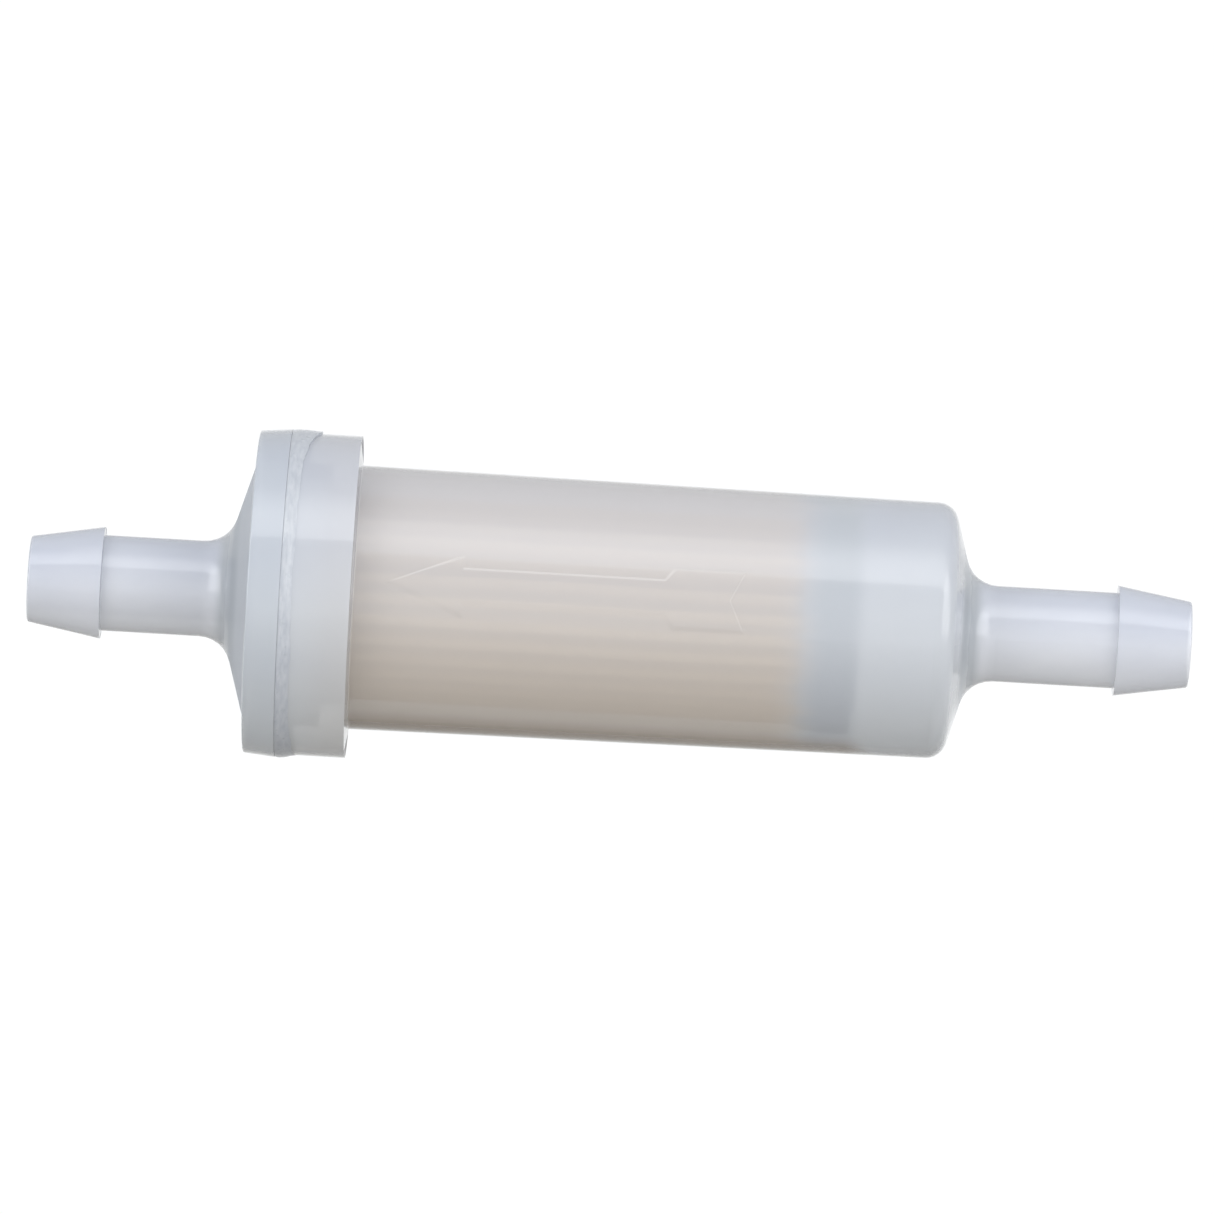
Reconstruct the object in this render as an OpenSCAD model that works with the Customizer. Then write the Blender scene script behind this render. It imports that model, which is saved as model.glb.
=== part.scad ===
// Inline fuel filter: a welded plastic bowl and cap round a pleated paper element.
// The axis lies along X. Fuel runs from the inlet at +X to the outlet at -X.
// Every piece is drawn upright, from its station along the axis, and laid down by along_x().

/* [Hose barbs] */
// Outer diameter of both nozzles behind the barb
stem_d = 9.6; // [8:0.1:12]
// Diameter of the barb's sharp back edge
barb_d = 11.24; // [10:0.02:13]
// Diameter of the nozzle's end face
tip_d = 8.6; // [7.6:0.1:11]
// Length of the barb's cone
barb_l = 7.4; // [5:0.1:10]
// Bore through both nozzles
bore_d = 6.4; // [4.4:0.1:7]
// Straight part of the outlet nozzle behind its barb
outlet_stem_l = 9.85; // [6:0.05:20]
// Straight part of the inlet nozzle behind its barb
inlet_stem_l = 12.05; // [6:0.05:20]
// Radius of the fillet at the root of each nozzle
neck_fillet = 3.35; // [1:0.05:3.6]

/* [Housing] */
// Bowl diameter next to the flange
body_d = 26.46; // [24:0.02:32]
// Length from the flange to the bowl's shoulder corner
body_l = 59.4; // [48:0.1:90]
// Mould draft of the bowl's side
body_draft = 0.4; // [0:0.05:0.6]
// Wall of the bowl and of the cap
wall = 1.5; // [1.2:0.05:1.8]
// Slope of the bowl's end wall
shoulder_angle = 15.4; // [5:0.1:25]
// Radius of the shoulder's fillet
shoulder_fillet = 2.1; // [1.7:0.05:2.6]
// Width of the flange around the bowl
flange_overhang = 2.92; // [2.4:0.01:4]
// Length of the flange from the weld to its face
flange_l = 7.15; // [6.2:0.05:10]

/* [Outlet cap] */
// Length of the cap's rim
cap_rim_l = 3.25; // [2:0.05:6]
// How far the rim's draft takes it out towards the weld
cap_rim_draft = 0.3; // [0:0.05:0.8]
// Width of the flat ring on the cap's face
cap_face_w = 2.7; // [1.5:0.1:3.4]
// Slope of the cap's face
cap_angle = 16.5; // [5:0.5:25]
// How far the rim at the weld stands out from the flange
cap_step = 0.3; // [0:0.05:0.6]
// Depth of the cap's pilot in the bowl
pilot_l = 1.4; // [1:0.1:2]

/* [Weld] */
// Length of the squeezed-out bead
bead_w = 2; // [0.8:0.1:3]
// Height of the bead above the flange
bead_h = 0.42; // [0.2:0.02:0.7]

/* [Flow arrow] */
// Height of the raised arrow
arrow_h = 0.1; // [0.05:0.05:0.5]
// Distance from the flange to the arrow's point
arrow_start = 3.5; // [2:0.1:8]
// Length of the arrow from its point to its tail
arrow_l = 35.2; // [25:0.1:36]
// Width of the head and of the tail block
arrow_w = 5.94; // [4:0.02:8]
// Width of the shaft
arrow_shaft_w = 3.44; // [2:0.02:3.8]
// Length of the head
arrow_head_l = 7.3; // [4:0.1:9]
// Length of the tail block
arrow_tail_l = 7.9; // [4:0.1:9]
// Depth of the notch in the tail
arrow_notch = 1.4; // [0.5:0.1:2]
// Height of the arrow around the side, from straight in front
arrow_turn = 7.6; // [-90:0.1:90]

/* [Paper element] */
// Number of pleats
pleats = 29; // [20:1:32]
// Thickness of the filter paper
paper_t = 0.35; // [0.2:0.05:0.4]
// Radial depth of the pleats
pleat_depth = 5.1; // [4:0.1:5.4]
// Distance from the flange to the element's closed end
element_l = 50.4; // [40:0.1:52]
// Gap around the closed end cap for the fuel
flow_gap = 0.5; // [0.3:0.05:0.8]
// Wall of the end caps' skirts
skirt_t = 0.5; // [0.4:0.05:0.7]
// Length of the closed end cap
closed_cap_l = 5.8; // [4:0.1:8]
// Length of the open end cap's skirt
open_skirt_l = 3; // [2:0.1:5]
// Thickness of the closed end cap's plate
plate_t = 0.9; // [0.6:0.1:1.4]
// Thickness of the open end cap's flange
collar_t = 1.5; // [1:0.1:1.8]
// Thickness of the adhesive in each end cap
potting_t = 1.2; // [0.8:0.1:1.6]
// Radial room between the paper and what surrounds it
paper_room = 0.1; // [0.05:0.05:0.15]
// Hole for clean fuel in the open end cap
outlet_hole_d = 7.6; // [6:0.1:8]

/* [Core tube] */
// Wall of the core tube
core_t = 0.8; // [0.6:0.1:1]
// Rows of windows along the core
core_rows = 9; // [6:1:11]
// Width of a window
window_w = 2.4; // [1.5:0.1:3]
// Part of a row that its window takes
window_share = 0.74; // [0.5:0.01:0.85]

/* [Seal] */
// Thickness of the gasket as squeezed
seal_t = 1.2; // [0.8:0.1:1.4]
// Radial width of the gasket
seal_w = 2.3; // [1.6:0.1:2.6]
// Radial room around whatever sits in the flange's pocket
pocket_room = 0.15; // [0.1:0.05:0.3]
// Wall of the flange around its pocket
pocket_wall = 2.85; // [2.2:0.05:3.1]

/* [Hidden] */
$fn = 96;
arc_steps = 8;
tip_round = 0.25;
overlap = 0.5;
windows_around = 6;
seam_share = 0.8;

// Radii
stem_r = stem_d / 2;
barb_r = barb_d / 2;
tip_r = tip_d / 2;
bore_r = bore_d / 2;
body_r = body_d / 2;
flange_r = body_r + flange_overhang;
cap_weld_r = flange_r + cap_step;
cap_rim_r = cap_weld_r - cap_rim_draft;
cap_cone_r = cap_rim_r - cap_face_w;
pocket_r = flange_r - pocket_wall;

// The nozzle's root: where its fillet's centre lies, and where the fillet meets a sloping face
neck_r = stem_r + neck_fillet;
function neck_reach(slope) = neck_fillet * cos(slope);
function neck_foot_r(slope) = neck_r - neck_fillet * sin(slope);

// Stations along the axis, from the outlet's end face
outlet_barb_z = barb_l;
outlet_neck_z = outlet_barb_z + outlet_stem_l;
cap_foot_z = outlet_neck_z + neck_reach(cap_angle);
cap_face_z = cap_foot_z + (cap_cone_r - neck_foot_r(cap_angle)) * tan(cap_angle);
weld_z = cap_face_z + cap_rim_l;
flange_z = weld_z + flange_l;
shoulder_z = flange_z + body_l;
shoulder_r = body_r - body_l * tan(body_draft);
inlet_foot_z = shoulder_z + (shoulder_r - neck_foot_r(shoulder_angle)) * tan(shoulder_angle);
inlet_neck_z = inlet_foot_z + neck_reach(shoulder_angle);
inlet_barb_z = inlet_neck_z + inlet_stem_l;
overall_l = inlet_barb_z + barb_l;

// The bowl's inside, and the element's place in it
function body_r_at(z) = body_r - (z - flange_z) * tan(body_draft);
function inner_r_at(z) = body_r_at(z) - wall;
closed_end_z = flange_z + element_l;
skirt_r = inner_r_at(closed_end_z) - flow_gap;
paper_r = skirt_r - skirt_t - paper_room;
paper_inner_r = paper_r - pleat_depth;
core_r = paper_inner_r - paper_room;
core_inner_r = core_r - core_t;
potting_r = skirt_r - skirt_t;
pilot_z = weld_z + pilot_l;
collar_z = pilot_z + seal_t;
collar_r = pocket_r - pocket_room;
seat_z = collar_z + collar_t;
paper_start_z = seat_z + potting_t;
plate_z = closed_end_z - plate_t;
paper_end_z = plate_z - potting_t;
pleat_step = 360 / pleats;

// An outline is a list of corners [radius, station, rounding], and each rounding becomes an arc.
function unit(v) = v / norm(v);
function flat(p) = [p[0], p[1]];
function turned(v, a) = [v[0] * cos(a) - v[1] * sin(a), v[0] * sin(a) + v[1] * cos(a)];
function arc(before, corner, after) =
    let (
        u = unit(flat(before) - flat(corner)),
        w = unit(flat(after) - flat(corner)),
        half_angle = acos(u * w) / 2,
        centre = flat(corner) + unit(u + w) * corner[2] / sin(half_angle),
        start = flat(corner) + u * corner[2] / tan(half_angle) - centre,
        end = flat(corner) + w * corner[2] / tan(half_angle) - centre,
        turn = sign(cross(start, end)) * (180 - 2 * half_angle)
    )
    [for (i = [0 : arc_steps]) centre + turned(start, turn * i / arc_steps)];
function rounded(corners) =
    let (n = len(corners))
    [for (i = [0 : n - 1])
        each corners[i][2] > 0
            ? arc(corners[(i + n - 1) % n], corners[i], corners[(i + 1) % n])
            : [flat(corners[i])]];

// Lays an upright piece along X, with the middle of the filter at the origin.
module along_x() {
    translate([-overall_l / 2, 0, 0])
        rotate([0, 90, 0])
            children();
}

module turned_piece(corners) {
    rotate_extrude()
        polygon(rounded(corners));
}

// A ring with a rectangular section.
module ring(inner_r, outer_r, from_z, to_z) {
    turned_piece([
        [inner_r, from_z, 0],
        [outer_r, from_z, 0],
        [outer_r, to_z, 0],
        [inner_r, to_z, 0]
    ]);
}

// The arrow's outline, with its point at the origin and its length along Y.
module arrow_outline() {
    half_w = arrow_w / 2;
    half_shaft = arrow_shaft_w / 2;
    tail_y = arrow_l - arrow_tail_l;
    polygon([
        [0, 0],
        [half_w, arrow_head_l],
        [half_shaft, arrow_head_l],
        [half_shaft, tail_y],
        [half_w, tail_y + half_w - half_shaft],
        [half_w, arrow_l],
        [0, arrow_l - arrow_notch],
        [-half_w, arrow_l],
        [-half_w, tail_y + half_w - half_shaft],
        [-half_shaft, tail_y],
        [-half_shaft, arrow_head_l],
        [-half_w, arrow_head_l]
    ]);
}

// The raised arrow, which follows the bowl's taper and is rooted in its wall.
module flow_arrow() {
    tip_z = flange_z + arrow_start;
    intersection() {
        translate([0, 0, tip_z - overlap])
            cylinder(
                h = arrow_l + 2 * overlap,
                r1 = body_r_at(tip_z - overlap) + arrow_h,
                r2 = body_r_at(tip_z + arrow_l + overlap) + arrow_h
            );
        rotate([0, 0, 180 - arrow_turn])
            translate([0, body_r - wall, tip_z])
                rotate([90, 0, 180])
                    linear_extrude(wall + overlap)
                        arrow_outline();
    }
}

module bowl() {
    inside_slope = wall / cos(shoulder_angle);
    inside_shoulder_r = inner_r_at(shoulder_z - inside_slope);
    inside_shoulder_z = shoulder_z - inside_slope + (shoulder_r - inside_shoulder_r) * tan(shoulder_angle);
    bore_end_z = inside_shoulder_z + (inside_shoulder_r - bore_r) * tan(shoulder_angle);
    turned_piece([
        [pocket_r, weld_z, 0],
        [flange_r, weld_z, 0],
        [flange_r, flange_z, tip_round],
        [body_r, flange_z, 0],
        [shoulder_r, shoulder_z, shoulder_fillet],
        [stem_r, shoulder_z + (shoulder_r - stem_r) * tan(shoulder_angle), neck_fillet],
        [stem_r, inlet_barb_z, 0],
        [barb_r, inlet_barb_z, 0],
        [tip_r, overall_l, tip_round],
        [bore_r, overall_l, 0],
        [bore_r, bore_end_z, 0],
        [inside_shoulder_r, inside_shoulder_z, shoulder_fillet - wall],
        [inner_r_at(seat_z), seat_z, 0],
        [pocket_r, seat_z, 0]
    ]);
}

module housing() {
    color("ghostwhite", 0.5)
        along_x()
            union() {
                bowl();
                flow_arrow();
            }
}

module outlet_cap() {
    inside_drop = wall / cos(cap_angle);
    pilot_r = pocket_r - pocket_room;
    plenum_r = pilot_r - seal_w;
    plenum_z = cap_face_z + inside_drop - (cap_cone_r - plenum_r) * tan(cap_angle);
    bore_end_z = cap_face_z + inside_drop - (cap_cone_r - bore_r) * tan(cap_angle);
    color("ghostwhite", 0.5)
        along_x()
            turned_piece([
                [bore_r, 0, 0],
                [tip_r, 0, tip_round],
                [barb_r, outlet_barb_z, 0],
                [stem_r, outlet_barb_z, 0],
                [stem_r, cap_face_z - (cap_cone_r - stem_r) * tan(cap_angle), neck_fillet],
                [cap_cone_r, cap_face_z, 0],
                [cap_rim_r, cap_face_z, tip_round],
                [cap_weld_r, weld_z, 0],
                [pilot_r, weld_z, 0],
                [pilot_r, pilot_z, 0],
                [plenum_r, pilot_z, 0],
                [plenum_r, plenum_z, 0],
                [bore_r, bore_end_z, 0]
            ]);
}

// The bead lies against the cap's step and bulges over the flange.
module weld_bead() {
    color("white")
        along_x()
            turned_piece([
                [flange_r, weld_z, 0],
                [flange_r + bead_h, weld_z, bead_h / 2],
                [flange_r + bead_h, weld_z + bead_w, bead_h / 2],
                [flange_r, weld_z + bead_w, 0]
            ]);
}

// The point at radius r on one side (-1 or 1) of a pleat's wall, whose middle is at an angle.
function wall_point(r, angle, side) =
    let (a = angle + side * asin(paper_t / 2 / r))
    [r * cos(a), r * sin(a)];

// One face of the folded sheet: out along a wall, over the crest, back, and round the root.
function folded(crest_r, root_r, side) =
    [for (i = [0 : pleats - 1])
        let (
            rise = (i - 0.25) * pleat_step,
            fall = (i + 0.25) * pleat_step
        )
        each [
            wall_point(root_r, rise, -side),
            wall_point(crest_r, rise, -side),
            wall_point(crest_r, fall, side),
            wall_point(root_r, fall, side)
        ]];

module pleated_media() {
    color("wheat")
        along_x()
            translate([0, 0, paper_start_z])
                linear_extrude(paper_end_z - paper_start_z)
                    difference() {
                        polygon(folded(paper_r, paper_inner_r + paper_t, 1));
                        polygon(folded(paper_r - paper_t, paper_inner_r, -1));
                    }
}

// The glued seam fills one gap between two pleats, at the top of the filter.
module media_seam() {
    gap = round(pleats / 2);
    rise = (gap + 0.25) * pleat_step;
    fall = (gap + 0.75) * pleat_step;
    seam_inner_r = paper_inner_r + paper_t;
    seam_outer_r = paper_inner_r + pleat_depth * seam_share;
    color("ivory")
        along_x()
            translate([0, 0, paper_start_z])
                linear_extrude(paper_end_z - paper_start_z)
                    polygon([
                        wall_point(seam_inner_r, rise, 1),
                        wall_point(seam_outer_r, rise, 1),
                        wall_point(seam_outer_r, fall, -1),
                        wall_point(seam_inner_r, fall, -1)
                    ]);
}

module core_tube() {
    core_l = plate_z - seat_z;
    row_l = core_l / core_rows;
    window_l = row_l * window_share;
    color("whitesmoke")
        along_x()
            difference() {
                ring(core_inner_r, core_r, seat_z, plate_z);
                for (row = [0 : core_rows - 1], turn = [0 : windows_around / 2 - 1])
                    translate([0, 0, seat_z + (row + 0.5) * row_l])
                        rotate([0, 0, (turn + 0.5) * 360 / windows_around])
                            cube([2 * core_r + overlap, window_w, window_l], center = true);
            }
}

module open_end_cap() {
    color("whitesmoke")
        along_x()
            turned_piece([
                [outlet_hole_d / 2, collar_z, 0],
                [collar_r, collar_z, 0],
                [collar_r, seat_z, 0],
                [skirt_r, seat_z, 0],
                [skirt_r, seat_z + open_skirt_l, 0],
                [potting_r, seat_z + open_skirt_l, 0],
                [potting_r, seat_z, 0],
                [outlet_hole_d / 2, seat_z, 0]
            ]);
}

module open_end_potting() {
    color("ivory")
        along_x()
            ring(core_r, potting_r, seat_z, paper_start_z);
}

module closed_end_cap() {
    skirt_start_z = closed_end_z - closed_cap_l;
    color("white")
        along_x()
            turned_piece([
                [0, plate_z, 0],
                [potting_r, plate_z, 0],
                [potting_r, skirt_start_z, 0],
                [skirt_r, skirt_start_z, 0],
                [skirt_r, closed_end_z, tip_round],
                [0, closed_end_z, 0]
            ]);
}

module closed_end_potting() {
    color("ivory")
        along_x()
            ring(core_r, potting_r, paper_end_z, plate_z);
}

module seal_ring() {
    color("gainsboro")
        along_x()
            ring(collar_r - seal_w, collar_r, pilot_z, collar_z);
}

housing();
outlet_cap();
weld_bead();
pleated_media();
media_seam();
core_tube();
open_end_cap();
open_end_potting();
closed_end_cap();
closed_end_potting();
seal_ring();
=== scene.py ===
"""An inline fuel filter: milky welded bowl and cap, with a pleated paper element showing through."""

import math

import bmesh
import bpy
import numpy as np
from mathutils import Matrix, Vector

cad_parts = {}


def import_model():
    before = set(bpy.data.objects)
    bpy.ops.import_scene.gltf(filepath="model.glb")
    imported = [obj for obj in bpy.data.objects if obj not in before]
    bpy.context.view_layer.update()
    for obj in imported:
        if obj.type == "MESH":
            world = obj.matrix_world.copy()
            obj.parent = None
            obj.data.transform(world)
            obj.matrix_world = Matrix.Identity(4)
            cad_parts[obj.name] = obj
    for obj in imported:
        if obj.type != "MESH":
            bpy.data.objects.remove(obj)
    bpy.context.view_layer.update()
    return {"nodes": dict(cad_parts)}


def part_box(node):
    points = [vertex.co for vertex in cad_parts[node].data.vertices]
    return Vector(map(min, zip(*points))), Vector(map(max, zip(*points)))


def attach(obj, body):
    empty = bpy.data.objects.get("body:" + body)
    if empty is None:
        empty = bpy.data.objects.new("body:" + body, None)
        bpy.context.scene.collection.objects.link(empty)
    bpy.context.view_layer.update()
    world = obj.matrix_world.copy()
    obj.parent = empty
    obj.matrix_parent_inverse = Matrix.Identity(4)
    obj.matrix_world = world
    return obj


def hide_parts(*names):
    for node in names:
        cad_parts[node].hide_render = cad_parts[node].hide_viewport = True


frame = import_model()

MM = 0.001
rng = np.random.default_rng(7)


# ---------------------------------------------------------------- places and sizes from the frame

def span(node):
    """A node's first and last place along the axis, and its outer radius, in metres."""
    low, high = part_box(node)
    return low.x, high.x, (high.z - low.z) / 2


OUTLET_TIP, PILOT_END, CAP_R = span("outlet_cap")
WELD_X, INLET_TIP, FLANGE_R = span("housing")
BEAD_START, _, BEAD_R = span("weld_bead")
CUP_START, ELEMENT_END, CUP_R = span("closed_end_cap")
PAPER_START, PAPER_END, PAPER_R = span("pleated_media")
COLLAR_X, _, COLLAR_R = span("open_end_cap")


# ---------------------------------------------------------------- sizes of the mouldings

# Nozzles, the same on the bowl and the cap.
STEM_R = 4.8 * MM
BARB_R = 5.62 * MM
TIP_R = 4.3 * MM
BORE_R = 3.2 * MM
BARB_L = 7.4 * MM
BARB_X = INLET_TIP - BARB_L
NECK_FILLET = 3.35 * MM

# Walls of both mouldings, and the rounding of their plain edges.
WALL = 1.5 * MM
EDGE = 0.2 * MM

# Bowl.
FLANGE_FACE = WELD_X + 7.15 * MM
POCKET_R = 13.3 * MM
COLLAR_T = 1.5 * MM
SEAT_X = COLLAR_X + COLLAR_T
BODY_R = 13.23 * MM
DRAFT = math.radians(0.4)
SHOULDER_X = FLANGE_FACE + 59.4 * MM
SHOULDER_SLOPE = math.radians(15.4)
SHOULDER_FILLET = 2.1 * MM

# Cap.
CAP_FACE_X = WELD_X - 3.25 * MM
RIM_DRAFT = 0.3 * MM
CAP_FACE_W = 2.7 * MM
CAP_SLOPE = math.radians(16.5)
PLENUM_R = 10.85 * MM
WELD_GAP = 0.02 * MM

# The raised arrow on the bowl. Its upper edges and its notch are crisp, and its lower edges are soft.
ARROW_TIP = FLANGE_FACE + 3.5 * MM
ARROW_TURN = math.radians(7.6)
ARROW_H = 0.05 * MM
ARROW_L = 35.2 * MM
ARROW_HALF_W = 2.97 * MM
ARROW_HALF_SHAFT = 1.72 * MM
ARROW_HEAD_L = 7.3 * MM
ARROW_TAIL_U = ARROW_L - 7.9 * MM
ARROW_STEP_L = 1.0 * MM
ARROW_NOTCH = 1.4 * MM
ARROW_BEVEL = 0.16 * MM
LOWER_BEVEL = 0.7 * MM
NOTCH_BEVEL = 0.11 * MM
ARROW_MARGIN = 0.5 * MM
ARROW_COLUMNS = 84
REST_COLUMNS = 120

# Paper and its cup.
PLEATS = 29
PAPER_T = 0.35 * MM
PLEAT_DEPTH = 5.1 * MM
PAPER_CLEARANCE = 0.03 * MM
SKIRT_T = 0.5 * MM
PLATE_T = 0.9 * MM

# Range that the random phases of the weld's and the pleats' waves are drawn from.
PHASE = (0, 6.28)


def body_r(x):
    """Outer radius of the bowl's drafted side."""
    return BODY_R - (x - FLANGE_FACE) * math.tan(DRAFT)


def inner_r(x):
    """Inner radius of the bowl's drafted side."""
    return body_r(x) - WALL


# ---------------------------------------------------------------- outlines and turned pieces

OUTSIDE, INSIDE = 0, 1


def outline(corners, steps=6):
    """Corners (x, radius, rounding, side) as points (x, radius, side), each rounding as an arc."""
    made = []
    for i, (x, r, rounding, side) in enumerate(corners):
        here = Vector((x, r))
        if not rounding:
            made.append((x, r, side))
            continue
        before, after = corners[i - 1], corners[(i + 1) % len(corners)]
        u = (Vector(before[:2]) - here).normalized()
        w = (Vector(after[:2]) - here).normalized()
        half = u.angle(w) / 2
        centre = here + (u + w).normalized() * rounding / math.sin(half)
        start = here + u * rounding / math.tan(half) - centre
        turn = math.pi - 2 * half
        if start.x * w.y - start.y * w.x < 0:
            turn = -turn
        for k in range(steps + 1):
            a = turn * k / steps
            p = centre + Vector((
                start.x * math.cos(a) - start.y * math.sin(a),
                start.x * math.sin(a) + start.y * math.cos(a),
            ))
            made.append((p.x, p.y, side))
    return made


def around(x, r, a):
    """The point at a place on the axis, a radius and an angle. 0 is the front, and 90 degrees the top."""
    return x, -r * math.cos(a), r * math.sin(a)


def all_round(count):
    """Evenly spaced angles."""
    return [2 * math.pi * k / count for k in range(count)]


def lathe(name, points, angles, materials, lift=None):
    """Turns a closed outline round the X axis. lift(x, angle, radius, side) gives a new radius."""
    n, m = len(points), len(angles)
    verts = []
    for x, r, side in points:
        for a in angles:
            verts.append(around(x, lift(x, a, r, side) if lift else r, a))
    faces, sides = [], []
    for i in range(n):
        j = (i + 1) % n
        for k in range(m):
            q = (k + 1) % m
            faces.append((i * m + k, i * m + q, j * m + q, j * m + k))
            sides.append(points[i][2] if points[i][2] == points[j][2] else OUTSIDE)
    mesh = bpy.data.meshes.new(name)
    mesh.from_pydata(verts, [], faces)
    for material in materials:
        mesh.materials.append(material)
    for face, side in zip(mesh.polygons, sides):
        face.material_index = min(side, len(materials) - 1)
    return finished(name, mesh)


def finished(name, mesh, sharp=35):
    """Makes the mesh an object with outward faces, and edges sharper than sharp degrees kept crisp."""
    bm = bmesh.new()
    bm.from_mesh(mesh)
    bmesh.ops.recalc_face_normals(bm, faces=bm.faces)
    bm.to_mesh(mesh)
    bm.free()
    mesh.shade_smooth()
    mesh.set_sharp_from_angle(angle=math.radians(sharp))
    piece = bpy.data.objects.new(name, mesh)
    bpy.context.scene.collection.objects.link(piece)
    weighted = piece.modifiers.new("even_shading", "WEIGHTED_NORMAL")
    weighted.keep_sharp = True
    return piece


def place(piece, node, slot):
    """Puts the piece on the one body, in place of a CAD node. The slot is not used."""
    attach(piece, "root")
    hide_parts(node)
    return piece


# ---------------------------------------------------------------- node graphs

class Graph:
    """A short way to write a node tree."""

    def __init__(self, tree):
        self.tree = tree

    def add(self, kind, **values):
        """Adds a node and sets its properties and inputs by name."""
        node = self.tree.nodes.new(kind)
        for key, value in values.items():
            if hasattr(node, key):
                setattr(node, key, value)
            else:
                node.inputs[key.replace("_", " ")].default_value = value
        return node

    def link(self, a, b):
        self.tree.links.new(a, b)

    def split(self, vector):
        """The X, Y and Z of a vector."""
        node = self.add("ShaderNodeSeparateXYZ")
        self.link(vector, node.inputs[0])
        return node.outputs["X"], node.outputs["Y"], node.outputs["Z"]

    def spread(self, value, start, end, low, high, curve="LINEAR"):
        """Takes start to end over to low to high, and stays at low or high beyond them."""
        node = self.add("ShaderNodeMapRange", interpolation_type=curve)
        self.link(value, node.inputs["Value"])
        for key, number in (("From Min", start), ("From Max", end), ("To Min", low), ("To Max", high)):
            node.inputs[key].default_value = number
        return node.outputs["Result"]

    def ease(self, value, start, end, low, high):
        """As spread, with a smooth start and end."""
        return self.spread(value, start, end, low, high, "SMOOTHSTEP")

    def maths(self, operation, first, second):
        node = self.add("ShaderNodeMath", operation=operation)
        for socket, value in zip(node.inputs, (first, second)):
            if isinstance(value, bpy.types.NodeSocket):
                self.link(value, socket)
            else:
                socket.default_value = value
        return node.outputs[0]

    def times(self, first, second):
        return self.maths("MULTIPLY", first, second)

    def sum(self, first, second):
        return self.maths("ADD", first, second)

    def size(self, value):
        """The value without its sign."""
        return self.maths("ABSOLUTE", value, 0)


class Surface(Graph):
    """A node material on one Principled shader, placed by the object's own coordinates."""

    def __init__(self, name):
        self.material = bpy.data.materials.new(name)
        self.material.use_nodes = True
        super().__init__(self.material.node_tree)
        self.shader = self.tree.nodes["Principled BSDF"]
        self.coords = self.add("ShaderNodeTexCoord").outputs["Object"]

    def noise(self, scale, detail=3.0, rough=0.5, stretch=None):
        """Noise of so many waves a metre. A stretch under 1 draws it out along that axis."""
        source = self.coords
        if stretch:
            mapping = self.add("ShaderNodeMapping")
            mapping.inputs["Scale"].default_value = stretch
            self.link(source, mapping.inputs["Vector"])
            source = mapping.outputs["Vector"]
        node = self.add("ShaderNodeTexNoise", Scale=scale, Detail=detail, Roughness=rough)
        self.link(source, node.inputs["Vector"])
        return node.outputs["Fac"]

    def ramp(self, noise, low, high):
        """Takes the middle of a noise's range over to low to high."""
        return self.spread(noise, 0.3, 0.7, low, high)

    def blend(self, value, first, second):
        """A colour between two, each a tuple or a node's output."""
        node = self.add("ShaderNodeMix", data_type="RGBA")
        self.link(value, node.inputs["Factor"])
        for socket, colour in (("A", first), ("B", second)):
            slot = [s for s in node.inputs if s.name == socket and s.type == "RGBA"][0]
            if isinstance(colour, tuple):
                slot.default_value = (*colour, 1)
            else:
                self.link(colour, slot)
        return [s for s in node.outputs if s.type == "RGBA"][0]

    def bump(self, height, depth):
        node = self.add("ShaderNodeBump")
        node.inputs["Strength"].default_value = 1.0
        node.inputs["Distance"].default_value = depth
        self.link(height, node.inputs["Height"])
        self.link(node.outputs["Normal"], self.shader.inputs["Normal"])

    def set(self, **values):
        """Sets or links the shader's inputs."""
        for key, value in values.items():
            socket = self.shader.inputs[key.replace("_", " ")]
            if isinstance(value, bpy.types.NodeSocket):
                self.link(value, socket)
            else:
                socket.default_value = value


# ---------------------------------------------------------------- milky plastic

OUTER_ALPHA = 0.78
INNER_ALPHA = 0.12

# Colours where the plastic faces up and where it faces down. The lighter under colour is painted light
# from below.
SHELL_COLOURS = ((0.52, 0.548, 0.625), (0.64, 0.67, 0.705))
CAP_COLOURS = ((0.475, 0.515, 0.595), (0.555, 0.592, 0.635))
TUBE_COLOURS = ((0.53, 0.56, 0.65), (0.77, 0.79, 0.84))
# Painted glow of the paper through the bowl's wall, warmer where the wall faces down.
WARM_PAINTED_GLOW = ((0.575, 0.56, 0.58), (0.605, 0.55, 0.50))

# Painted shade by place: on the cones, in the necks, over the cup and along the bowl's lower edge.
CONE_PAINTED_SHADE = (0.47, 0.50, 0.55)
NECK_PAINTED_SHADE = (0.40, 0.43, 0.47)
CUP_PAINTED_SHADE = (0.505, 0.535, 0.585)
LOW_EDGE_PAINTED_SHADE = (0.26, 0.18, 0.10)


def cones(s, x):
    """1 on the cap's cone and 0.6 on the bowl's shoulder."""
    return s.sum(
        s.ease(x, CAP_FACE_X - 0.3 * MM, CAP_FACE_X, 1, 0),
        s.ease(x, SHOULDER_X + 0.8 * MM, SHOULDER_X + 1.6 * MM, 0, 0.6),
    )


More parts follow.
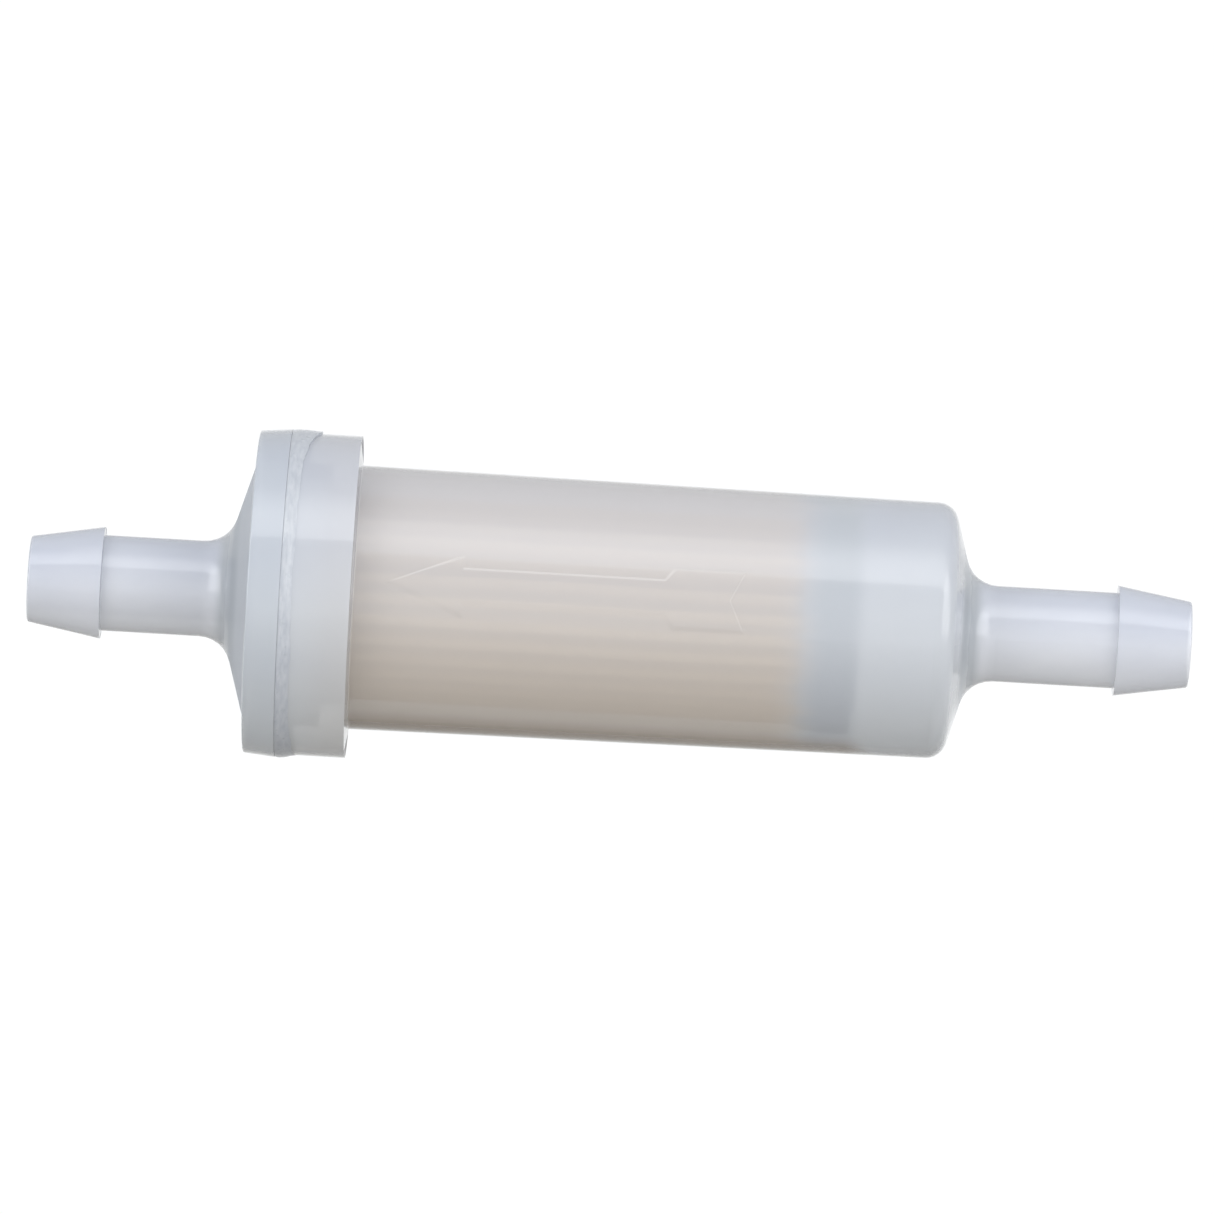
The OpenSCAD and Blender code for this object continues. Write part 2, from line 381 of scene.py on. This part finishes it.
def colour_with_painted_light(s, x, z, radius, on_cone, top, under):
    """The plastic's colour with painted light and shade: painted light underneath, most on the thin tubes,
    and painted shade at the barbs, cones and necks.
    """
    # Painted light: lighter where the surface faces down, mixed with random cloud from melt flow.
    faces_down = s.ease(s.maths("DIVIDE", z, radius), -1, 1, 1, 0)
    cloud_and_painted_light = s.sum(faces_down, s.ramp(s.noise(90, 4, stretch=(0.5, 1, 1)), -0.2, 0.2))
    # Painted shade: the barbs move towards the darker top colour.
    barb_shade = s.times(
        s.ease(s.size(x), BARB_X, INLET_TIP, -0.2, -0.3),
        s.maths("GREATER_THAN", s.size(x), BARB_X),
    )
    on_tube = s.ease(radius, 6.2 * MM, 8.5 * MM, 1, 0)
    # Where the necks get painted shade.
    in_neck = s.times(
        s.times(s.ease(radius, 4.9 * MM, 5.8 * MM, 0, 0.9), s.ease(radius, 7.5 * MM, 10 * MM, 1, 0)),
        s.maths("LESS_THAN", s.size(x), BARB_X - 0.5 * MM),
    )
    # Painted shade on the cones.
    body = s.blend(on_cone, s.blend(cloud_and_painted_light, top, under), CONE_PAINTED_SHADE)
    tube = s.blend(s.sum(cloud_and_painted_light, barb_shade), *TUBE_COLOURS)
    return s.blend(in_neck, s.blend(on_tube, body, tube), NECK_PAINTED_SHADE)


def with_painted_glow_and_shade(s, x, z, colour):
    """The colour with painted light and shade from the element inside: a painted warm glow where the paper
    lies behind the wall, painted shade over the cup, and painted shade along the bowl's lower edge.
    """
    wander = s.ramp(s.noise(420, 3, stretch=(0.1, 1, 1)), -0.5 * MM, 0.5 * MM)
    along = s.sum(x, wander)
    past_flange = (FLANGE_FACE - 0.1 * MM, FLANGE_FACE + 0.1 * MM)
    # Painted glow of the paper through the wall: some over the flange, full past it, fading out at the
    # paper's end.
    over_paper = s.times(
        s.sum(s.ease(x, WELD_X, FLANGE_FACE - 0.5 * MM, 0, 0.3), s.ease(x, *past_flange, 0, 0.7)),
        s.ease(along, PAPER_END - 7 * MM, PAPER_END + 1 * MM, 1, 0),
    )
    # Painted shade over the cup: a darker band on the wall.
    over_cup = s.times(
        s.ease(along, PAPER_END - 5 * MM, PAPER_END - 1 * MM, 0, 1),
        s.times(
            s.ease(x, ELEMENT_END - 1.4 * MM, ELEMENT_END + 0.9 * MM, 1, 0.3),
            s.ease(x, SHOULDER_X, SHOULDER_X + 2 * MM, 1, 0),
        ),
    )
    # Painted shade along the bowl's lower edge, from the flange to the element's end.
    low_edge = s.times(
        s.ease(z, -BODY_R, -10.8 * MM, 1, 0),
        s.times(
            s.ease(x, *past_flange, 0, 1),
            s.ease(along, ELEMENT_END - 1 * MM, ELEMENT_END + 2 * MM, 1, 0),
        ),
    )
    # The painted glow's colour, warmer where the wall faces down.
    warm = s.blend(s.ease(z, -13 * MM, 13 * MM, 1, 0), *WARM_PAINTED_GLOW)
    return s.blend(low_edge, s.blend(over_cup, s.blend(over_paper, colour, warm), CUP_PAINTED_SHADE), LOW_EDGE_PAINTED_SHADE)


def milky(name, alpha, top, under):
    """Natural moulded plastic, clouded by melt flow, that lets some of what is behind show, with painted
    light and shade in its colour.

    Its cones are matt, and everything else has a clear gloss.
    """
    s = Surface(name)
    x, y, z = s.split(s.coords)
    radius = s.maths("POWER", s.sum(s.times(y, y), s.times(z, z)), 0.5)
    on_cone = cones(s, x)
    matt = s.times(on_cone, s.ease(radius, 5.6 * MM, 7.5 * MM, 0, 1))
    s.set(
        Base_Color=with_painted_glow_and_shade(s, x, z, colour_with_painted_light(s, x, z, radius, on_cone, top, under)),
        Roughness=s.sum(s.ramp(s.noise(400, 2), 0.17, 0.23), s.times(matt, 0.4)),
        IOR=1.5,
        Specular_IOR_Level=0.5,
        Coat_Weight=s.spread(matt, 0, 1, 1, 0),
        Coat_Roughness=0.05,
        Coat_IOR=1.6,
        Alpha=alpha,
    )
    s.bump(s.noise(220, 2, stretch=(0.4, 1, 1)), 0.01 * MM)
    return s.material


# ---------------------------------------------------------------- other materials

def rough_melt(name):
    """Plastic that melted and set again, streaked round the filter."""
    s = Surface(name)
    streaks = s.ramp(s.noise(3000, 6, stretch=(1, 0.3, 0.3)), 0, 1)
    s.set(
        Base_Color=s.blend(streaks, (0.49, 0.52, 0.585), (0.60, 0.63, 0.68)),
        Roughness=s.ramp(s.noise(1500, 3), 0.25, 0.45),
        IOR=1.5,
        Coat_Weight=0.7,
        Coat_Roughness=0.15,
        Coat_IOR=1.6,
        Alpha=0.8,
    )
    s.bump(s.noise(3600, 6, stretch=(1, 0.3, 0.3)), 0.02 * MM)
    return s.material


def paper(name):
    """Beige filter paper with fibres along the pleats and paler patches."""
    s = Surface(name)
    fibres = s.noise(2600, 6, 0.65, stretch=(0.35, 1, 1))
    warm = s.blend(s.ramp(fibres, 0, 1), (0.66, 0.50, 0.30), (0.80, 0.64, 0.42))
    s.set(
        Base_Color=s.blend(s.ramp(s.noise(160, 3), 0, 0.5), warm, (0.84, 0.68, 0.46)),
        Roughness=0.9,
    )
    s.bump(fibres, 0.06 * MM)
    return s.material


def speckled(name, first, second, colour_scale, roughness, rough_scale, bump_scale, depth, detail=3):
    """A solid material that varies a little in colour, gloss and height."""
    s = Surface(name)
    s.set(
        Base_Color=s.blend(s.ramp(s.noise(colour_scale, detail), 0, 1), first, second),
        Roughness=s.ramp(s.noise(rough_scale, 3), *roughness),
        IOR=1.5,
    )
    s.bump(s.noise(bump_scale, detail), depth)
    return s.material


shell = milky("milky_plastic", OUTER_ALPHA, *SHELL_COLOURS)
cap_shell = milky("milky_plastic_cap", OUTER_ALPHA, *CAP_COLOURS)
shell_inside = milky("milky_plastic_inside", INNER_ALPHA, *SHELL_COLOURS)
melt = rough_melt("weld_melt")
filter_paper = paper("filter_paper")
element_plastic = speckled(
    "element_plastic", (0.46, 0.50, 0.55), (0.52, 0.56, 0.61),
    colour_scale=200, roughness=(0.32, 0.48), rough_scale=700, bump_scale=900, depth=0.02 * MM,
)
glue = speckled(
    "adhesive", (0.78, 0.72, 0.56), (0.84, 0.79, 0.64),
    colour_scale=300, roughness=(0.25, 0.5), rough_scale=500, bump_scale=350, depth=0.1 * MM,
)
rubber = speckled(
    "gasket_rubber", (0.60, 0.62, 0.64), (0.68, 0.70, 0.72),
    colour_scale=500, roughness=(0.55, 0.75), rough_scale=1200, bump_scale=1500, depth=0.03 * MM, detail=4,
)


# ---------------------------------------------------------------- housing

def arrow_edges():
    """The arrow's edges (u along it, v across it), each with the width of its bevel."""
    half = [
        (0, 0),
        (ARROW_HEAD_L, ARROW_HALF_W),
        (ARROW_HEAD_L, ARROW_HALF_SHAFT),
        (ARROW_TAIL_U, ARROW_HALF_SHAFT),
        (ARROW_TAIL_U + ARROW_STEP_L, ARROW_HALF_W),
        (ARROW_L, ARROW_HALF_W),
        (ARROW_L - ARROW_NOTCH, 0),
    ]
    loop = half + [(u, -v) for u, v in reversed(half[1:-1])]
    edges = []
    for a, b in zip(loop, loop[1:] + loop[:1]):
        bevel = LOWER_BEVEL if a[1] + b[1] < 0 else ARROW_BEVEL
        if half[-1] in (a, b):
            bevel = NOTCH_BEVEL
        edges.append((a, b, bevel))
    return edges


def arrow_depth(u, v):
    """How deep a point lies inside the arrow's outline, in bevel widths, and negative outside."""
    nearest = math.inf
    inside = False
    for (u0, v0), (u1, v1), bevel in ARROW_EDGES:
        du, dv = u1 - u0, v1 - v0
        t = min(max(((u - u0) * du + (v - v0) * dv) / (du * du + dv * dv), 0), 1)
        nearest = min(nearest, math.hypot(u - u0 - t * du, v - v0 - t * dv) / bevel)
        if (v0 > v) != (v1 > v):
            inside ^= u < du * (v - v0) / dv + u0
    return nearest if inside else -nearest


ARROW_EDGES = arrow_edges()


def arrow_lift(x, angle, r):
    """How far the arrow raises the bowl's side here."""
    turned = angle - ARROW_TURN
    if math.cos(turned) < 0.9 or not -MM < x - ARROW_TIP < ARROW_L + MM:
        return 0.0
    t = min(max(arrow_depth(x - ARROW_TIP, r * math.sin(turned)) + 0.5, 0.0), 1.0)
    return ARROW_H * t * t * (3 - 2 * t)


def with_rows(points, first, last, step):
    """Adds points between two places along the bowl's side, which is straight there."""
    made = []
    for a, b in zip(points, points[1:] + points[:1]):
        made.append(a)
        if a[2] == b[2] == OUTSIDE and a[0] < first < b[0] and abs(a[1] - b[1]) < 0.5 * MM:
            count = int((last - first) / step)
            for k in range(count + 1):
                x = first + (last - first) * k / count
                t = (x - a[0]) / (b[0] - a[0])
                made.append((x, a[1] + (b[1] - a[1]) * t, OUTSIDE))
    return made


def housing_outline():
    """The bowl's section: flange, drafted side, shoulder, neck and barb, and back along the inside."""
    def cone_x(r):
        return SHOULDER_X + (body_r(SHOULDER_X) - r) * math.tan(SHOULDER_SLOPE)

    inner_shift = WALL / math.cos(SHOULDER_SLOPE)
    inner_corner = inner_r(SHOULDER_X - inner_shift)
    return outline([
        (WELD_X, POCKET_R, 0, INSIDE),
        (WELD_X, FLANGE_R, 0, OUTSIDE),
        (FLANGE_FACE, FLANGE_R, EDGE, OUTSIDE),
        (FLANGE_FACE, BODY_R, 0.15 * MM, OUTSIDE),
        (SHOULDER_X, body_r(SHOULDER_X), SHOULDER_FILLET, OUTSIDE),
        (cone_x(STEM_R), STEM_R, NECK_FILLET, OUTSIDE),
        (BARB_X, STEM_R, 0.1 * MM, OUTSIDE),
        (BARB_X, BARB_R, 0.05 * MM, OUTSIDE),
        (INLET_TIP, TIP_R, 0.25 * MM, OUTSIDE),
        (INLET_TIP, BORE_R, 0.15 * MM, INSIDE),
        (cone_x(BORE_R) - inner_shift, BORE_R, 0.3 * MM, INSIDE),
        (cone_x(inner_corner) - inner_shift, inner_corner, 0.6 * MM, INSIDE),
        (SEAT_X, inner_r(SEAT_X), 0.2 * MM, INSIDE),
        (SEAT_X, POCKET_R, 0, INSIDE),
    ])


def housing():
    """The bowl, with rows and columns close enough together for the arrow's bevels."""
    head_end = ARROW_TIP + ARROW_HEAD_L
    tail = ARROW_TIP + ARROW_TAIL_U
    end = ARROW_TIP + ARROW_L
    points = housing_outline()
    for first, last, step in (
        (ARROW_TIP - 0.6 * MM, head_end + 0.6 * MM, 0.12 * MM),
        (head_end + 1.5 * MM, tail - 0.8 * MM, 2 * MM),
        (tail - 0.6 * MM, end - 1.8 * MM, 0.12 * MM),
        (end - ARROW_NOTCH - 0.2 * MM, end + 0.4 * MM, 0.05 * MM),
    ):
        points = with_rows(points, first, last, step)

    half = math.asin((ARROW_HALF_W + ARROW_MARGIN) / BODY_R)
    rest = 2 * math.pi - 2 * half
    angles = [ARROW_TURN - half + 2 * half * k / ARROW_COLUMNS for k in range(ARROW_COLUMNS + 1)]
    angles += [ARROW_TURN + half + rest * k / REST_COLUMNS for k in range(1, REST_COLUMNS)]

    def lift(x, a, r, side):
        on_side = side == OUTSIDE and abs(r - body_r(x)) < 0.05 * MM and x > FLANGE_FACE + MM
        return r + arrow_lift(x, a, r) if on_side else r

    piece = lathe("housing_shell", points, angles, [shell, shell_inside], lift)
    return place(piece, "housing", "shell")


# ---------------------------------------------------------------- outlet cap

def outlet_cap():
    """The cap: barb, neck, cone, flat face, drafted rim, and the pilot that enters the flange's pocket."""
    face_r = CAP_R - RIM_DRAFT
    cone_r = face_r - CAP_FACE_W
    inner_face_x = CAP_FACE_X + WALL / math.cos(CAP_SLOPE)
    rim_end = WELD_X - WELD_GAP

    def cone_drop(r):
        return (cone_r - r) * math.tan(CAP_SLOPE)

    points = outline([
        (OUTLET_TIP, BORE_R, 0.15 * MM, OUTSIDE),
        (OUTLET_TIP, TIP_R, 0.25 * MM, OUTSIDE),
        (OUTLET_TIP + BARB_L, BARB_R, 0.05 * MM, OUTSIDE),
        (OUTLET_TIP + BARB_L, STEM_R, 0.1 * MM, OUTSIDE),
        (CAP_FACE_X - cone_drop(STEM_R), STEM_R, NECK_FILLET, OUTSIDE),
        (CAP_FACE_X, cone_r, 0.5 * MM, OUTSIDE),
        (CAP_FACE_X, face_r, EDGE, OUTSIDE),
        (rim_end, CAP_R, 0, OUTSIDE),
        (rim_end, COLLAR_R, 0, INSIDE),
        (PILOT_END, COLLAR_R, 0, INSIDE),
        (PILOT_END, PLENUM_R, 0.2 * MM, INSIDE),
        (inner_face_x - cone_drop(PLENUM_R), PLENUM_R, 0.4 * MM, INSIDE),
        (inner_face_x - cone_drop(BORE_R), BORE_R, 0.3 * MM, INSIDE),
    ])
    piece = lathe("outlet_cap_shell", points, all_round(192), [cap_shell, shell_inside])
    return place(piece, "outlet_cap", "shell")


# ---------------------------------------------------------------- weld bead

def draw_waves(counts, least, falloff):
    """Random waves round the filter, as (count, phase, size), smaller where there are more."""
    return [(k, rng.uniform(*PHASE), rng.uniform(least, 1.0) / k ** falloff) for k in counts]


def ripple(a, waves):
    return sum(math.sin(a * k + phase) * size for k, phase, size in waves)


def weld_bead():
    """Re-melted plastic squeezed out of the joint: it laps over the flange, furthest on top."""
    waves = draw_waves((5, 9, 17, 31, 53, 88, 140), 0.4, 0.5)
    flakes = draw_waves((13, 23, 47, 71, 113), 0.5, 0.3)
    count, across = 900, 14
    rim_h = CAP_R - FLANGE_R
    foot_r = FLANGE_R - 0.04 * MM
    verts = []
    for a in all_round(count):
        lap = 0.5 + 0.5 * math.sin(a)
        wave = ripple(a, waves)
        width = (1.25 + 1.75 * lap ** 24 + 0.7 * (1 - lap) ** 12 + 0.14 * wave) * MM
        lip = (0.015 + 0.2 * lap ** 16 + 0.02 * abs(ripple(a, flakes))) * MM
        for j in range(across + 1):
            t = j / across
            fall = t * t * (3 - 2 * t)
            arch = math.sin(math.pi * t)
            bulge = 0.07 * MM * arch ** 2 * (0.8 + 0.3 * wave)
            groove = 0.012 * MM * math.sin(31 * t + 2 * wave) * arch
            lead_in = 0.06 * MM * max(0, 1 - t / 0.15)
            height = rim_h + (lip - rim_h) * fall + bulge + groove - lead_in
            verts.append(around(BEAD_START + width * t, min(FLANGE_R + height, BEAD_R), a))
        verts.append(around(BEAD_START + width, foot_r, a))
        verts.append(around(BEAD_START, foot_r, a))
    ring = across + 3
    faces = []
    for k in range(count):
        q = (k + 1) % count
        for j in range(ring):
            i = (j + 1) % ring
            faces.append((k * ring + j, k * ring + i, q * ring + i, q * ring + j))
    mesh = bpy.data.meshes.new("weld_flash_bead")
    mesh.from_pydata(verts, [], faces)
    mesh.materials.append(melt)
    return place(finished("weld_flash_bead", mesh, sharp=50), "weld_bead", "weld")


# ---------------------------------------------------------------- element

def pleat_path(crest, root, per_fold=5):
    """Points of one face of the folded sheet, as (angle, radius), round the whole pack."""
    step = 2 * math.pi / PLEATS
    half = step / 4
    path = []
    for i in range(PLEATS):
        for centre, radius, sign in ((i * step, crest, 1), ((i + 0.5) * step, root, -1)):
            for k in range(per_fold + 1):
                a = math.pi * (k / per_fold - 0.5)
                turn = math.sin(a) * half * 0.98
                rise = half * radius * (1 - math.cos(a)) * 0.9
                path.append((centre + turn, radius - sign * rise))
    return path


def other_face(points):
    """The sheet's other face, a paper's thickness from the first."""
    made = []
    for i, p in enumerate(points):
        along = (points[(i + 1) % len(points)] - points[i - 1]).normalized()
        made.append(p + Vector((-along.y, along.x)) * PAPER_T)
    return made


def pleated_media():
    """One folded sheet, whose pleats wander a little between the two end caps."""
    rows = 26
    path = pleat_path(PAPER_R - PAPER_CLEARANCE, PAPER_R - PLEAT_DEPTH + PAPER_T)
    n = len(path)
    flat = [Vector((r * math.cos(a), r * math.sin(a))) for a, r in path]
    wander = [(rng.uniform(*PHASE), rng.uniform(*PHASE), rng.uniform(0.5, 1.0)) for _ in range(PLEATS)]
    verts = []
    for loop in (flat, other_face(flat)):
        for k in range(rows + 1):
            t = k / rows
            x = PAPER_START + (PAPER_END - PAPER_START) * t
            free = math.sin(math.pi * t)
            for i, p in enumerate(loop):
                one, two, size = wander[i * PLEATS // n]
                wave = math.sin(5 * t + one) + 0.5 * math.sin(11 * t + two)
                turn = math.radians(0.55) * free * size * wave
                c, s = math.cos(turn), math.sin(turn)
                verts.append((x, -(p.x * c - p.y * s), p.x * s + p.y * c))
    block = (rows + 1) * n
    faces = []
    for k in range(rows):
        for i in range(n):
            j = (i + 1) % n
            a, b, c, d = k * n + i, k * n + j, (k + 1) * n + j, (k + 1) * n + i
            faces.append((a, b, c, d))
            faces.append((block + d, block + c, block + b, block + a))
    for k in (0, rows):
        for i in range(n):
            a, b = k * n + i, k * n + (i + 1) % n
            faces.append((a, b, block + b, block + a))
    mesh = bpy.data.meshes.new("pleated_paper")
    mesh.from_pydata(verts, [], faces)
    mesh.materials.append(filter_paper)
    return place(finished("pleated_paper", mesh, sharp=60), "pleated_media", "filter_paper")


def closed_end_cap():
    """The cup over the paper's end, with a shallow dish in its plate."""
    hub_r = 0.01 * MM
    dish = 0.25 * MM
    points = outline([
        (ELEMENT_END - PLATE_T, hub_r, 0, OUTSIDE),
        (ELEMENT_END - PLATE_T, CUP_R - SKIRT_T, 0.1 * MM, OUTSIDE),
        (CUP_START, CUP_R - SKIRT_T, 0.12 * MM, OUTSIDE),
        (CUP_START, CUP_R, 0.12 * MM, OUTSIDE),
        ((CUP_START + ELEMENT_END) / 2, CUP_R, 0, OUTSIDE),
        (ELEMENT_END, CUP_R, 0.5 * MM, OUTSIDE),
        (ELEMENT_END, CUP_R - 2.2 * MM, 0.2 * MM, OUTSIDE),
        (ELEMENT_END - dish, CUP_R - 2.6 * MM, 0.2 * MM, OUTSIDE),
        (ELEMENT_END - dish, hub_r, 0, OUTSIDE),
    ], steps=4)
    piece = lathe("closed_end_cup", points, all_round(128), [element_plastic])
    return place(piece, "closed_end_cap", "element_plastic")


def dress_cad_nodes():
    """Gives the CAD nodes that keep their shape a better material."""
    looks = {
        "core_tube": element_plastic,
        "open_end_cap": element_plastic,
        "open_end_potting": glue,
        "closed_end_potting": glue,
        "media_seam": glue,
        "seal_ring": rubber,
    }
    for node, material in looks.items():
        mesh = frame["nodes"][node].data
        mesh.materials.clear()
        mesh.materials.append(material)


# ---------------------------------------------------------------- stage

FLOOR_Z = -0.125
FLOOR_R = 0.9
FLOOR_PAINTED_SHADE = (0.30, 0.29, 0.275)
FLOOR_FAR = (0.80, 0.795, 0.785)


def stage():
    """A plain pale floor, with painted shade under the filter."""
    bpy.ops.mesh.primitive_circle_add(
        vertices=128, radius=FLOOR_R, fill_type="NGON", location=(0, 0, FLOOR_Z)
    )
    floor = bpy.context.object
    floor.name = "floor"
    s = Surface("pale_floor")
    length = s.add("ShaderNodeVectorMath", operation="LENGTH")
    s.link(s.coords, length.inputs[0])
    # Painted shade: darker near the middle, under the filter.
    away = s.ease(length.outputs["Value"], 0.08, 0.65, 0, 1)
    far = s.blend(s.ramp(s.noise(6, 3), 0, 1), FLOOR_FAR, tuple(c * 1.03 for c in FLOOR_FAR))
    s.set(Base_Color=s.blend(away, FLOOR_PAINTED_SHADE, far), Roughness=0.9)
    floor.data.materials.append(s.material)


# ---------------------------------------------------------------- light

STUDIO_WHITE = (0.985, 0.995, 1.0)
WARM_WHITE = (1.0, 0.985, 0.955)

# The softbox above the front: its lower and upper edges, in degrees up, and where its ends fade, as X.
BOX_LOW = (39, 41)
BOX_HIGH = (55, 88)
BOX_ENDS = (0.6, 0.9)
BOX_RADIANCE = 1.35

# The walls all round. They turn into the white backdrop behind, as Y, and dim towards the ceiling, as Z.
WALLS = 0.8
BACKDROP = (0.93, 0.985)
BACKDROP_RADIANCE = 1.03
CEILING = (0.1, 0.5)
CEILING_SHARE = 0.8

# The windows at both sides of the front.
SIDE_WINDOW = 1.6

LOW_CARD = 1.45
FRONT_CARD = 0.1


def world():
    """A white studio: softbox above the front, windows at the sides, and a white backdrop."""
    studio = bpy.data.worlds.new("studio")
    bpy.context.scene.world = studio
    studio.use_nodes = True
    g = Graph(studio.node_tree)
    back = g.tree.nodes["Background"]
    x, y, z = g.split(g.add("ShaderNodeTexCoord").outputs["Generated"])
    front = g.times(y, -1.0)
    side = g.size(x)

    elevation = g.maths("ARCTAN2", z, front)
    box = g.times(
        g.ease(elevation, *(math.radians(a) for a in BOX_LOW), 0, 1),
        g.ease(elevation, *(math.radians(a) for a in BOX_HIGH), 1, 0),
    )
    box = g.times(g.times(box, g.ease(side, *BOX_ENDS, 1, 0)), BOX_RADIANCE)

    windows = SIDE_WINDOW
    for value, start, end, low, high in (
        (side, 0.48, 0.6, 0, 1),
        (front, 0.1, 0.3, 0, 1),
        (z, -0.15, 0.0, 0, 1),
        (z, 0.5, 0.75, 1, 0),
    ):
        windows = g.times(g.ease(value, start, end, low, high), windows)

    level = g.ease(y, *BACKDROP, WALLS, BACKDROP_RADIANCE)
    walls = g.times(g.ease(z, *CEILING, 1.0, CEILING_SHARE), level)
    g.link(g.sum(g.sum(box, walls), windows), back.inputs["Strength"])
    back.inputs["Color"].default_value = (*STUDIO_WHITE, 1)


def fill_card(name, place, width, height, radiance, colour):
    """A soft light that lifts the shade without showing in the reflections."""
    data = bpy.data.lights.new(name, "AREA")
    data.shape = "RECTANGLE"
    data.size, data.size_y = width, height
    data.energy = radiance * math.pi * width * height
    data.color = colour
    lamp = bpy.data.objects.new(name, data)
    lamp.location = place
    lamp.rotation_euler = (-lamp.location).to_track_quat("-Z", "Y").to_euler()
    lamp.visible_camera = False
    lamp.visible_glossy = False
    bpy.context.scene.collection.objects.link(lamp)


# ---------------------------------------------------------------- camera

CAMERA_PLACE = (-0.27 * MM, -1.03, 0.455 * MM)
CAMERA_ROLL = math.radians(-3.27)
LENS = 305


def camera():
    """A long lens level with the filter, rolled so that the outlet end sits higher."""
    data = bpy.data.cameras.new("camera")
    data.sensor_width = 36
    data.lens = LENS
    data.clip_start, data.clip_end = 0.01, 50
    cam = bpy.data.objects.new("camera", data)
    cam.location = CAMERA_PLACE
    cam.rotation_euler = (math.radians(90), CAMERA_ROLL, 0)
    bpy.context.scene.collection.objects.link(cam)
    bpy.context.scene.camera = cam


# ---------------------------------------------------------------- scene

camera()
world()
stage()
fill_card("low_fill", (0, -0.21, -0.105), 1.2, 0.12, LOW_CARD, WARM_WHITE)
fill_card("front_fill", (0, -1.2, 0.05), 1.2, 0.6, FRONT_CARD, STUDIO_WHITE)
bpy.context.scene.view_settings.view_transform = "Standard"
bpy.context.scene.view_settings.look = "None"

housing()
outlet_cap()
weld_bead()
pleated_media()
closed_end_cap()
dress_cad_nodes()
